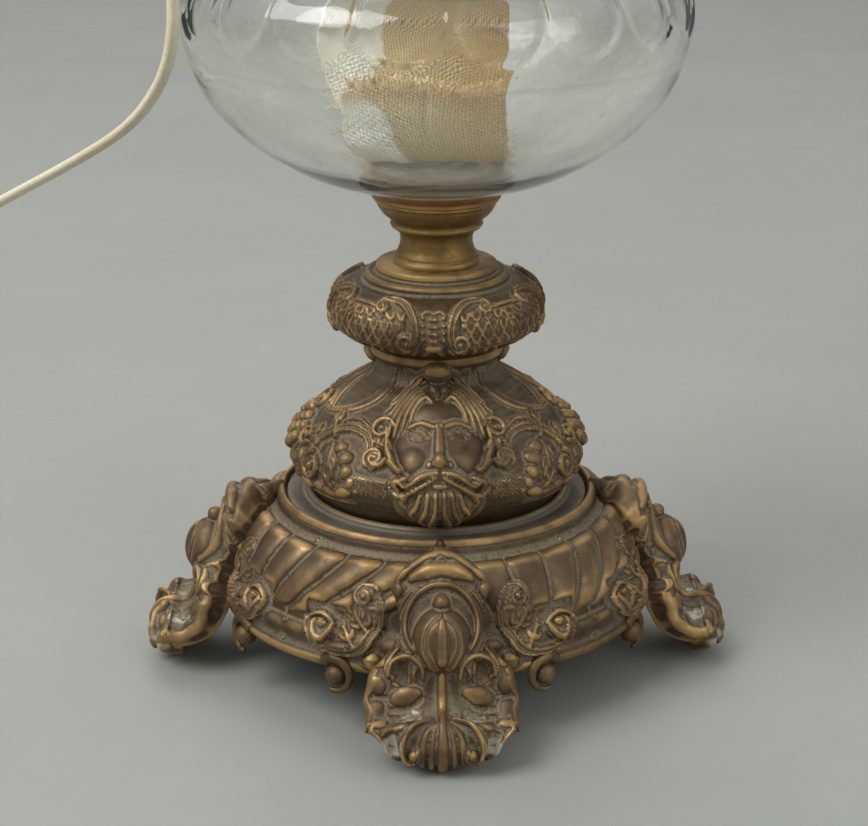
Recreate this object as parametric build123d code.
from build123d import *
import math
import os

# Table oil lamp, later wired for a bulb. Millimetres, +Z up, the floor is z = 0 and the lamp's
# centre line is the Z axis. The front of the lamp, where one foot points, is -Y.

# ---- driving dimensions -------------------------------------------------------------------

# heights of the joints between the stacked pieces
PLATE_UNDER, PLATE_TOP = 57.5, 61.0
BODY_TOP = 119.5
KNOP_TOP = 148.5
CUP_TOP = 172.9
CUP_RIM_TOP = 176.5
GLASS_NECK_TOP = 281.8
COLLAR_TOP = 291.0
BURNER_FLOOR = 297.0
BASKET_TOP = 330.0
CHIMNEY_SEAT = 331.2
TUBE_TOP = 336.0
HOLDER_TOP = 373.0
CHIMNEY_HEIGHT = 255.0

# feet
FOOT_COUNT = 4
TOE_REACH = 105.0
TREAD_INNER, TREAD_OUTER = 90.0, 96.0
FOOT_HALF_WIDTH = 24.0

# centre rod and its fixings
ROD_R = 5.0
ROD_HOLE_R = 5.5
ROD_BOTTOM, ROD_LIFT = 45.0, 169.2
NUT_ACROSS_FLATS = 16.0
NUT_HEIGHT = 6.0
WASHER_R, WASHER_THICK = 17.0, 2.0
CUP_WEB_TOP = 162.3

# walls
CAST_WALL = 2.8
SPUN_WALL = 1.2
SHEET = 0.8

# threads and tubes of the round-wick burner
THREAD_R = 21.7
COLLAR_BORE_R = 21.8
NECK_R, NECK_BORE_R = 25.0, 21.8
TUBE_R, TUBE_BORE_R = 12.6, 12.0
DRAUGHT_R, DRAUGHT_BORE_R = 9.6, 9.0
TUBE_BOTTOM = 289.0
FIT = 0.05

# wick winder: a spindle along X behind the wick tube
SPINDLE_R = 1.25
SPINDLE_Y, SPINDLE_Z = 16.6, 306.0
WHEEL_TIP_R, WHEEL_ROOT_R, WHEEL_POINTS = 4.5, 3.2, 12
WHEEL_THICK = 1.6
WHEEL_PLACES = (-6.0, 0.0, 6.0)
SLEEVE_START, SLEEVE_END, SLEEVE_R = 14.0, 46.0, 2.6
KNOB_START, KNOB_THICK, KNOB_R, KNOB_NOTCHES = 47.0, 5.0, 10.0, 24

# wick: a woven strip, rolled in the burner and flat in the font
WICK_THICK = 2.2
WICK_TOP = 327.0
WICK_OUTER_R = TUBE_BORE_R - 0.3
WICK_INNER_R = DRAUGHT_R + 0.3
WICK_FOLD_Z = 188.0

# chimney, lamp holder and bulb
CHIMNEY_R, CHIMNEY_WALL = 26.25, 1.7
PRONGS, PRONG_SLOT = 16, 2.4
HOLDER_R = 13.8
SCREW_R = 6.95
SOCKET_BORE_R = 7.0
BULB_R = 17.5
BULB_TOP = 452.0
BULB_CAP_BOTTOM, BULB_CAP_TOP = 351.5, 375.5

# cord: flat twin flex; its solids are as wide as the flex
CORD_D = 5.4
CORD_R = CORD_D / 2
EXIT_AZIMUTH = 155.0
EXIT_Z = 316.0
RELIEF_START, RELIEF_END = 30.0, 52.0
COIL_CENTRE = (-340.0, -52.0)
COIL_MIDDLE_R, COIL_HALF_WIDTH, COIL_HEIGHT = 30.0, 8.6, 10.0
CORD_ROUTE = [
    (-59.8, 27.9, 316.0), (-73.1, 32.5, 310.6), (-83.3, 35.4, 300.0), (-89.5, 36.1, 286.0),
    (-92.3, 34.5, 268.0), (-92.5, 31.5, 247.0), (-91.5, 30.0, 228.0), (-95.5, 31.0, 208.0),
    (-109.0, 37.0, 189.0), (-133.0, 47.5, 173.0),
    (-163.0, 56.0, 156.0), (-203.0, 71.0, 131.0), (-249.0, 79.0, 99.0), (-297.0, 77.0, 69.0),
    (-339.0, 61.0, 42.0), (-365.0, 33.0, 20.0), (-374.5, 1.0, 7.0), (-376.0, -24.0, CORD_R),
]
RUN_END = (-373.0, -46.0, CORD_R)
TAIL_X, TAIL_START_Y, TAIL_END_Y = -307.0, -36.0, -12.0
PLUG_LENGTH, PLUG_WIDTH, PLUG_HEIGHT = 36.0, 26.0, 13.6
PIN_R, PIN_LENGTH, PIN_SPACING = 2.0, 19.0, 19.0


# ---- helpers ------------------------------------------------------------------------------


def on_xz(points):
    """(r, z) pairs as points of the XZ plane."""
    return [(r, 0, z) for r, z in points]


def turned(points):
    """Solid of revolution of a closed outline with straight sides."""
    return revolve(make_face(Polyline(*on_xz(points), close=True).edges()), Axis.Z)


def turned_shell(outer, inner):
    """Solid of revolution between two smooth curves, each listed from bottom to top."""
    edges = [Spline(*on_xz(outer)), Spline(*on_xz(inner))]
    edges.append(Line(*on_xz([outer[0], inner[0]])))
    edges.append(Line(*on_xz([outer[-1], inner[-1]])))
    return revolve(make_face([edge.edge() for edge in edges]), Axis.Z)


def ring(inner_r, outer_r, bottom, top):
    """Straight tube about the Z axis."""
    return turned([(inner_r, bottom), (outer_r, bottom), (outer_r, top), (inner_r, top)])


def disc(radius, bottom, top):
    """Solid cylinder about the Z axis."""
    return Pos(0, 0, (bottom + top) / 2) * Cylinder(radius, top - bottom)


def bar_x(radius, start, end, y, z):
    """Round bar along X."""
    return Pos((start + end) / 2, y, z) * Rot(0, 90, 0) * Cylinder(radius, end - start)


def block(low, high):
    """Box between two corners."""
    size = [b - a for a, b in zip(low, high)]
    middle = [(a + b) / 2 for a, b in zip(low, high)]
    return Pos(*middle) * Box(*size)


def around(solid, count, first=0.0):
    """Copies of a solid, evenly spaced about the Z axis."""
    return [Rot(0, 0, first + 360 * i / count) * solid for i in range(count)]


def save(name, *solids):
    """Writes one node; several solids stay separate."""
    shape = solids[0] if len(solids) == 1 else Compound(children=list(solids))
    export_step(shape, f"parts/{name}.step")


# ---- base ---------------------------------------------------------------------------------


def base_dome():
    """Domed casting between the feet, with a raised ring round its seat and an inner ledge."""
    outside = [
        (52.0, PLATE_TOP), (52.6, 64.6), (54.6, 66.0), (57.0, 64.0), (58.2, 60.2), (63.0, 57.0),
        (68.0, 51.5), (71.5, 45.0), (73.0, 38.5), (76.0, 35.0), (76.5, 28.5), (78.0, 26.0),
        (77.2, 24.0),
    ]
    inside = [
        (74.6, 24.0), (73.6, 29.0), (70.2, 37.0), (68.6, 44.0), (65.4, 49.6), (61.2, 53.4),
        (56.5, 54.7), (44.0, 54.7), (44.0, PLATE_UNDER), (52.0, PLATE_UNDER),
    ]
    return turned(outside + inside)


def foot():
    """One scrolled foot, pointing along +X, with a flat tread and a rolled toe."""
    top = [
        (54.6, 66.5), (63.0, 62.4), (70.0, 57.0), (76.5, 50.0), (82.5, 41.5), (86.6, 33.5),
        (88.8, 26.0), (91.6, 21.2), (96.8, 21.6), (101.6, 19.6),
    ]
    toe_under = [(101.6, 19.6), (104.4, 15.5), (TOE_REACH, 9.5), (102.4, 3.0), (TREAD_OUTER, 0)]
    back = [
        (TREAD_INNER, 0), (86.0, 3.0), (84.0, 12.0), (83.0, 22.0), (79.5, 32.0), (74.0, 41.0),
        (66.0, 50.0), (57.0, 57.8),
    ]
    edges = [
        Spline(*on_xz(top)), Spline(*on_xz(toe_under)), Line(*on_xz([toe_under[-1], back[0]])),
        Spline(*on_xz(back)), Line(*on_xz([back[-1], top[0]])),
    ]
    side = make_face([edge.edge() for edge in edges])
    slab = extrude(side, FOOT_HALF_WIDTH, dir=(0, 1, 0), both=True)
    half = [(50, 15), (66, 18), (76, FOOT_HALF_WIDTH), (97, FOOT_HALF_WIDTH), (106, 17)]
    plan = half + [(x, -y) for x, y in reversed(half)]
    trim = extrude(make_face(Polyline(*plan, close=True).edges()), 80)
    return slab & trim


def base_casting():
    shape = base_dome()
    for piece in around(foot(), FOOT_COUNT):
        shape += piece
    return shape


def seat_plate():
    return ring(ROD_HOLE_R, 51.8, PLATE_UNDER, PLATE_TOP)


# ---- stem ---------------------------------------------------------------------------------


def body_casting():
    """Squat vase with a flared neck, open below, closed above by a web for the rod."""
    outside = [
        (43.2, PLATE_TOP), (43.4, 64.0), (47.6, 69.9), (50.8, 75.7), (51.6, 80.0), (50.4, 85.0),
        (45.7, 91.0), (38.8, 97.9), (28.6, 105.5), (22.4, 110.0), (21.6, 113.0), (23.6, 117.0),
        (23.6, BODY_TOP),
    ]
    inside = [
        (ROD_HOLE_R, BODY_TOP), (ROD_HOLE_R, 116.5), (20.0, 116.5), (18.8, 112.0), (19.8, 108.6),
        (26.6, 103.2), (36.8, 95.8), (43.4, 89.3), (47.6, 84.0), (48.7, 80.0), (48.0, 76.6),
        (45.0, 71.4), (40.6, 65.4), (40.2, PLATE_TOP),
    ]
    return turned(outside + inside)


def knop_casting():
    """Flattened knop below the cup, open below, closed above by a stepped web."""
    outside = [
        (21.8, BODY_TOP), (25.2, 120.8), (29.8, 123.4), (34.4, 126.4), (36.4, 130.0),
        (36.6, 134.0), (35.0, 138.2), (31.0, 141.4), (25.8, 142.8), (25.6, 144.4), (21.6, 145.8),
        (21.0, KNOP_TOP),
    ]
    inside = [
        (ROD_HOLE_R, KNOP_TOP), (ROD_HOLE_R, 145.0), (18.6, 145.0), (22.6, 140.6), (29.6, 138.6),
        (32.8, 136.2), (33.8, 133.4), (33.6, 131.0), (32.0, 128.6), (28.4, 126.2), (23.4, 123.4),
        (19.0, BODY_TOP),
    ]
    return turned(outside + inside)


CUP_INSIDE = [(14.4, CUP_WEB_TOP), (15.6, 164.6), (18.6, 168.4), (19.9, 170.8), (20.4, CUP_TOP)]


def stem_cup():
    """Spun brass cup: waisted stem, bead and a bowl that takes the foot of the glass."""
    outside = [
        (15.1, KNOP_TOP), (15.1, 150.6), (14.6, 151.6), (13.2, 154.0), (12.7, 156.8),
        (13.2, 159.4), (14.8, 161.2), (15.7, 162.3), (15.9, 163.2), (18.9, 166.6), (21.0, 170.0),
        (21.7, CUP_TOP),
    ]
    web = [(ROD_HOLE_R, CUP_WEB_TOP), (ROD_HOLE_R, 160.6), (12.4, 160.6)]
    waist_inside = [(11.5, 156.8), (12.2, 153.4), (13.6, 150.4), (13.6, KNOP_TOP)]
    return turned(outside + CUP_INSIDE[::-1] + web + waist_inside)


def cup_rim_ring():
    """Copper-coloured band that the glass rests above."""
    return turned([
        (20.4, CUP_TOP), (21.9, CUP_TOP), (22.4, 174.4), (23.3, 175.6), (23.3, CUP_RIM_TOP),
        (22.1, CUP_RIM_TOP), (21.0, 174.6),
    ])


def hex_nut(bottom):
    outside = extrude(RegularPolygon(NUT_ACROSS_FLATS / math.sqrt(3), 6), NUT_HEIGHT)
    return Pos(0, 0, bottom) * outside - disc(ROD_R, bottom - 1, bottom + NUT_HEIGHT + 1)


def plaster_bed():
    """Plaster that beds the glass in the cup, with a pocket round the rod and its nut."""
    return turned([
        (9.8, CUP_WEB_TOP), *CUP_INSIDE, (13.6, CUP_TOP), (13.6, 172.2), (0, 172.2), (0, 170.4),
        (9.8, 170.4),
    ])


# ---- font ---------------------------------------------------------------------------------


def font_glass():
    """Blown glass reservoir: flattened bowl, rounded shoulder, straight neck and a foot peg."""
    outer = [
        (23.9, 176.9), (42.6, 181.4), (55.0, 187.7), (71.0, 199.9), (81.0, 213.0),
        (85.4, 225.4), (87.0, 236.5), (85.2, 246.2), (79.0, 253.0), (65.0, 258.8), (45.0, 263.8),
        (31.0, 268.0), (NECK_R, 274.5), (NECK_R, GLASS_NECK_TOP),
    ]
    inner = [
        (0.0, 181.4), (20.0, 181.8), (40.0, 185.2), (53.0, 191.3), (68.0, 202.6), (77.4, 214.6),
        (81.8, 226.0), (83.4, 236.5), (81.8, 244.4), (76.8, 250.0), (64.0, 255.3), (44.4, 260.4),
        (29.6, 264.8), (NECK_BORE_R, 272.0), (NECK_BORE_R, GLASS_NECK_TOP),
    ]
    edges = [Spline(*on_xz(outer)), Spline(*on_xz(inner))]
    edges.append(Line(*on_xz([outer[-1], inner[-1]])))
    foot_line = [outer[0], (18.0, CUP_RIM_TOP), (13.5, CUP_TOP), (13.5, 172.3), (0, 172.3), inner[0]]
    edges.append(Polyline(*on_xz(foot_line)))
    return revolve(make_face([e for curve in edges for e in curve.edges()]), Axis.Z)


def collar_plaster():
    return ring(NECK_R + 0.1, 28.6, 274.5, GLASS_NECK_TOP)


def font_collar():
    """Brass collar with the burner's thread, cemented round the glass neck."""
    return turned([
        (28.7, 272.0), (29.9, 271.6), (30.3, 273.0), (29.9, 274.4), (29.9, 281.6), (27.4, 284.0),
        (25.0, 284.8), (25.0, 289.6), (25.6, 290.4), (25.2, COLLAR_TOP),
        (COLLAR_BORE_R, COLLAR_TOP), (COLLAR_BORE_R, 282.0), (28.7, 282.0),
    ])


# ---- burner -------------------------------------------------------------------------------


def burner_body():
    """Lower burner: thread, milled flange and the floor that carries the wick tube."""
    return turned([
        (20.6, 283.6), (THREAD_R, 283.6), (THREAD_R, COLLAR_TOP), (26.4, COLLAR_TOP),
        (26.9, 292.3), (26.4, 293.6), (22.4, 294.2), (22.4, BURNER_FLOOR + 1),
        (TUBE_R + FIT, BURNER_FLOOR + 1), (TUBE_R + FIT, BURNER_FLOOR), (21.3, BURNER_FLOOR),
        (20.6, 293.0),
    ])


def basket_blank():
    """Air basket that carries the gallery, without its holes."""
    outside = [(22.4, 298.0), (25.6, 299.2), (29.4, 305.0), (32.2, 313.0), (33.2, 321.0)]
    inside = [(r - SHEET, z + 0.2) for r, z in reversed(outside[1:])]
    return turned(
        outside + [(33.2, BASKET_TOP), (33.2 - SHEET, BASKET_TOP)] + inside
        + [(24.6, 298.9), (22.4, 298.9)]
    )


def exit_bar(radius, start, end):
    """Round bar along the cord's way out of the burner, between two distances from the axis."""
    return (
        Rot(0, 0, EXIT_AZIMUTH) * Pos((start + end) / 2, 0, EXIT_Z) * Rot(0, 90, 0)
        * Cylinder(radius, end - start)
    )


def burner_basket():
    air_hole = Pos(27.6, 0, 302.2) * Rot(0, 56, 0) * Cylinder(1.7, 8)
    holes = around(air_hole, 24, 7.5)
    sleeve_hole = bar_x(SLEEVE_R + FIT, 15, 40, SPINDLE_Y, SPINDLE_Z)
    return basket_blank() - holes - sleeve_hole - exit_bar(4.05, 25, 40)


def wick_tube():
    """Outer wick tube with a window for the winder's wheels."""
    window = block((-9, 6, SPINDLE_Z - 6), (9, 20, SPINDLE_Z + 6))
    return ring(TUBE_BORE_R, TUBE_R, TUBE_BOTTOM, TUBE_TOP) - window


def draught_tube():
    """Inner tube, held by a web that passes through the gap in the rolled wick."""
    web = block((-1.2, -TUBE_BORE_R + 0.1, 300), (1.2, -DRAUGHT_R + 0.2, 334))
    return ring(DRAUGHT_BORE_R, DRAUGHT_R, 298, TUBE_TOP) + web


def spindle_bearing():
    """Plate on the wick tube that carries the spindle's inner end."""
    plate = block((-13, 4, SPINDLE_Z - 4), (-11, 20.6, SPINDLE_Z + 4))
    bore = bar_x(SPINDLE_R + FIT, -14, -10, SPINDLE_Y, SPINDLE_Z)
    return plate - disc(TUBE_R, 290, 330) - bore


def spindle_sleeve():
    outside = bar_x(SLEEVE_R, SLEEVE_START, SLEEVE_END, SPINDLE_Y, SPINDLE_Z)
    return outside - bar_x(SPINDLE_R + FIT, SLEEVE_START - 1, SLEEVE_END + 1, SPINDLE_Y, SPINDLE_Z)


def wick_wheel(x):
    """Star wheel that grips the wick."""
    outline = []
    for i in range(2 * WHEEL_POINTS):
        radius = WHEEL_TIP_R if i % 2 == 0 else WHEEL_ROOT_R
        angle = math.pi * i / WHEEL_POINTS
        outline.append((radius * math.cos(angle), radius * math.sin(angle)))
    star = extrude(make_face(Polyline(*outline, close=True).edges()), WHEEL_THICK / 2, both=True)
    star -= Cylinder(SPINDLE_R, 2 * WHEEL_THICK)
    return Pos(x, SPINDLE_Y, SPINDLE_Z) * Rot(0, 90, 0) * star


def wick_knob():
    """Milled knob on the spindle's outer end."""
    knob = Cylinder(KNOB_R, KNOB_THICK)
    notch = Pos(KNOB_R + 0.5, 0, 0) * Cylinder(1.0, KNOB_THICK + 1)
    knob -= around(notch, KNOB_NOTCHES)
    knob -= Cylinder(SPINDLE_R, KNOB_THICK + 1)
    return Pos(KNOB_START + KNOB_THICK / 2, SPINDLE_Y, SPINDLE_Z) * Rot(0, 90, 0) * knob


def wick():
    """Rolled upper end, flat strip down to the bottom of the font, and a folded-up free end."""
    roll = ring(WICK_INNER_R, WICK_OUTER_R, 283.5, WICK_TOP) - block((-3, -14, 280), (3, -4, 330))
    roll += ring(WICK_INNER_R, WICK_OUTER_R, 276, 285) & block((-5, 5, 276), (5, 14, 285))
    back_y = 9.7
    half = [(11, 280.0), (11, 272), (20, 252), (34, 226), (34, WICK_FOLD_Z)]
    outline = half + [(-x, z) for x, z in reversed(half)]
    strip = make_face(Polyline(*on_xz(outline), close=True).edges())
    strip = Pos(0, back_y, 0) * extrude(strip, WICK_THICK, dir=(0, 1, 0))
    strip -= disc(WICK_INNER_R, 270, 300)
    fold = block((-26, -8, WICK_FOLD_Z - 2.2), (26, back_y + WICK_THICK, WICK_FOLD_Z))
    flap = [(-20, 0), (24, 0), (27, 34), (-27, 34)]
    flap = extrude(make_face(Polyline(*flap, close=True).edges()), WICK_THICK)
    flap = Pos(0, -6, WICK_FOLD_Z - 2.2) * Rot(115, 0, 0) * flap
    return roll + strip + fold + flap


def gallery():
    """Ledge and springy crown of prongs that hold the chimney."""
    ledge = ring(24.0, 33.6, BASKET_TOP, CHIMNEY_SEAT)
    rim = ring(32.8, 33.6, CHIMNEY_SEAT, 334.5)
    crown = ring(27.0, 27.0 + SHEET, CHIMNEY_SEAT, 350.0)
    slot = block((20, -PRONG_SLOT / 2, 336), (36, PRONG_SLOT / 2, 352))
    return ledge + rim + (crown - around(slot, PRONGS))


def chimney():
    """Glass chimney: wide foot, drawn-in waist, tall straight tube."""
    foot_z = CHIMNEY_SEAT + 0.3
    curve = [
        (CHIMNEY_R, foot_z + 42), (24.6, foot_z + 54), (22.2, foot_z + 64), (21.6, foot_z + 78),
        (21.4, foot_z + 150), (21.0, foot_z + CHIMNEY_HEIGHT),
    ]
    inner_curve = [(r - CHIMNEY_WALL, z) for r, z in curve]
    edges = []
    for points in (curve, inner_curve):
        edges.append(Spline(*on_xz(points), tangents=[(0, 0, 1), (0, 0, 1)]))
    foot = [curve[0], (CHIMNEY_R, foot_z), (CHIMNEY_R - CHIMNEY_WALL, foot_z), inner_curve[0]]
    edges += [Polyline(*on_xz(foot)), Line(*on_xz([curve[-1], inner_curve[-1]]))]
    return revolve(make_face([e for piece in edges for e in piece.edges()]), Axis.Z)


# ---- electric fittings --------------------------------------------------------------------


def holder_plate():
    """Disc on the wick tube that closes it and carries the lamp holder."""
    return ring(4.2, 16.0, TUBE_TOP, TUBE_TOP + 1.5)


def lampholder():
    """Moulded holder for a small screw bulb."""
    base = TUBE_TOP + 1.5
    return turned([
        (4.2, base), (HOLDER_R - 1.5, base), (HOLDER_R, base + 1.5), (HOLDER_R, base + 14),
        (12.6, base + 16), (12.6, HOLDER_TOP - 3), (11.8, HOLDER_TOP), (7.9, HOLDER_TOP),
        (7.9, 350.0), (4.2, 350.0),
    ])


def socket_shell():
    return ring(SOCKET_BORE_R, 7.85, 352.0, HOLDER_TOP - 1)


def holder_lead(side):
    """One insulated core from the cord's bush to the lamp holder."""
    path = FilletPolyline(
        (RELIEF_START, side, EXIT_Z), (21.5, side, EXIT_Z), (20.6, side, 345.0),
        (HOLDER_R + 0.2, side, 345.0), radius=[5.0, 3.0],
    )
    start = Plane(origin=path @ 0, z_dir=path % 0)
    return Rot(0, 0, EXIT_AZIMUTH) * sweep(start * Circle(1.1), path)


def bulb_cap():
    return disc(SCREW_R, BULB_CAP_BOTTOM, BULB_CAP_TOP)


def bulb_glass():
    """Candle-shaped bulb."""
    outer = [
        (7.4, BULB_CAP_TOP), (9.6, 381.0), (15.0, 392.0), (BULB_R, 405.0), (15.6, 420.0),
        (9.4, 436.0), (3.6, 447.0), (0, BULB_TOP),
    ]
    inner = [
        (6.6, BULB_CAP_TOP), (8.8, 381.2), (14.2, 392.0), (16.7, 405.0), (14.8, 419.6),
        (8.7, 435.4), (3.0, 446.0), (0, BULB_TOP - 1.4),
    ]
    return turned_shell(outer, inner)


def bulb_stem():
    """Glass stem with the filament's supports, inside the bulb."""
    return turned([(0, BULB_CAP_TOP), (5.0, BULB_CAP_TOP), (2.2, 386), (1.6, 414), (0, 414)])


# ---- cord ---------------------------------------------------------------------------------


def strain_relief():
    """Tapered bush at the side of the burner; the flex leaves its tip."""
    taper = turned([(0, 0), (5.4, 0), (4.6, 6), (3.4, RELIEF_END - 33.6), (0, RELIEF_END - 33.6)])
    taper = Rot(0, 0, EXIT_AZIMUTH) * Pos(33.6, 0, EXIT_Z) * Rot(0, 90, 0) * taper
    return exit_bar(4.0, RELIEF_START, 33.7) + taper


def corner_radii(points):
    """Largest tangent arc at each corner, from its shorter run."""
    radii = []
    for before, corner, after in zip(points, points[1:], points[2:]):
        first, second = Vector(*corner) - Vector(*before), Vector(*after) - Vector(*corner)
        half_turn = math.radians(first.get_angle(second)) / 2
        radii.append(0.45 * min(first.length, second.length) / math.tan(half_turn))
    return radii


def cord_run():
    """Flex from the bush down to the floor and into the coil."""
    angle = math.radians(EXIT_AZIMUTH)
    start = (RELIEF_END * math.cos(angle), RELIEF_END * math.sin(angle), EXIT_Z)
    points = [start, *CORD_ROUTE, RUN_END]
    radii = corner_radii(points)
    path = FilletPolyline(*points, radius=radii)
    section = Plane(origin=path @ 0, z_dir=path % 0) * Circle(CORD_R)
    tube = sweep(section, path)
    print("cord radii", [round(r, 1) for r in radii])
    expected = math.pi * CORD_R ** 2 * path.length
    print("cord run length", round(path.length, 1), "volume over section x length", tube.volume / expected)
    return tube


def cord_coil():
    """Outer shape of the wound flex."""
    low, high = COIL_MIDDLE_R - COIL_HALF_WIDTH, COIL_MIDDLE_R + COIL_HALF_WIDTH
    coil = turned([
        (low + 1.5, 0), (high - 1.5, 0), (high, 2), (high, COIL_HEIGHT - 3),
        (high - 3, COIL_HEIGHT), (low + 3, COIL_HEIGHT), (low, COIL_HEIGHT - 3), (low, 2),
    ])
    return Pos(*COIL_CENTRE, 0) * coil


def cord_tail():
    """Straight end of the flex, between the coil and the plug."""
    middle = (TAIL_START_Y + TAIL_END_Y) / 2
    return Pos(TAIL_X, middle, CORD_R) * Rot(90, 0, 0) * Cylinder(CORD_R, TAIL_END_Y - TAIL_START_Y)


def cord_tie(coil):
    """Band that holds the coil's turns together."""
    x, y = COIL_CENTRE
    inner = y - COIL_MIDDLE_R - COIL_HALF_WIDTH - 1.2
    outer = y - COIL_MIDDLE_R + COIL_HALF_WIDTH + 1.2
    return block((x - 3, inner, 0), (x + 3, outer, COIL_HEIGHT + 1.0)) - coil


def plug_body():
    """Flat two-pin plug, lying on its broad side, narrowed towards the flex."""
    half = [(3.6, 0), (6.5, 5), (PLUG_WIDTH / 2, 18), (PLUG_WIDTH / 2, PLUG_LENGTH)]
    plan = half + [(-x, y) for x, y in reversed(half)]
    shape = extrude(make_face(Polyline(*plan, close=True).edges()), PLUG_HEIGHT)
    rim = shape.faces().sort_by(Axis.Z)[-1].edges() + shape.faces().sort_by(Axis.Z)[0].edges()
    return Pos(TAIL_X, TAIL_END_Y, 0) * chamfer(rim, 1.5)


def plug_pins():
    tip = TAIL_END_Y + PLUG_LENGTH + PIN_LENGTH
    pins = []
    for side in (-1, 1):
        middle = (TAIL_END_Y + PLUG_LENGTH + tip) / 2
        x = TAIL_X + side * PIN_SPACING / 2
        pins.append(Pos(x, middle, PLUG_HEIGHT / 2) * Rot(90, 0, 0) * Cylinder(PIN_R, PIN_LENGTH))
    return pins


# ---- output -------------------------------------------------------------------------------


def main():
    os.makedirs("parts", exist_ok=True)
    save("base_casting", base_casting())
    save("seat_plate", seat_plate())
    save("body_casting", body_casting())
    save("knop_casting", knop_casting())
    save("stem_cup", stem_cup())
    save("cup_rim_ring", cup_rim_ring())
    save("tie_rod", disc(ROD_R, ROD_BOTTOM, ROD_LIFT))
    washer_bottom = PLATE_UNDER - WASHER_THICK
    save("rod_washer", ring(ROD_HOLE_R, WASHER_R, washer_bottom, PLATE_UNDER))
    save("rod_nuts", hex_nut(washer_bottom - NUT_HEIGHT), hex_nut(CUP_WEB_TOP))
    save("plaster_bed", plaster_bed())
    save("font_glass", font_glass())
    save("collar_plaster", collar_plaster())
    save("font_collar", font_collar())
    save("burner_body", burner_body())
    save("burner_basket", burner_basket())
    save("wick_tube", wick_tube())
    save("draught_tube", draught_tube())
    save("spindle_bearing", spindle_bearing())
    save("spindle_sleeve", spindle_sleeve())
    knob_end = KNOB_START + KNOB_THICK
    save("wick_spindle", bar_x(SPINDLE_R, -13, knob_end, SPINDLE_Y, SPINDLE_Z))
    save("wick_wheels", *[wick_wheel(x) for x in WHEEL_PLACES])
    save("wick_knob", wick_knob())
    save("wick", wick())
    save("gallery", gallery())
    save("chimney", chimney())
    save("holder_plate", holder_plate())
    save("lampholder", lampholder())
    save("socket_shell", socket_shell())
    save("holder_leads", holder_lead(-1.6), holder_lead(1.6))
    save("bulb_cap", bulb_cap())
    save("bulb_glass", bulb_glass())
    save("bulb_stem", bulb_stem())
    save("strain_relief", strain_relief())
    save("cord_run", cord_run())
    coil = cord_coil()
    save("cord_coil", coil)
    save("cord_tail", cord_tail())
    save("cord_tie", cord_tie(coil))
    save("plug_body", plug_body())
    save("plug_pins", *plug_pins())


main()
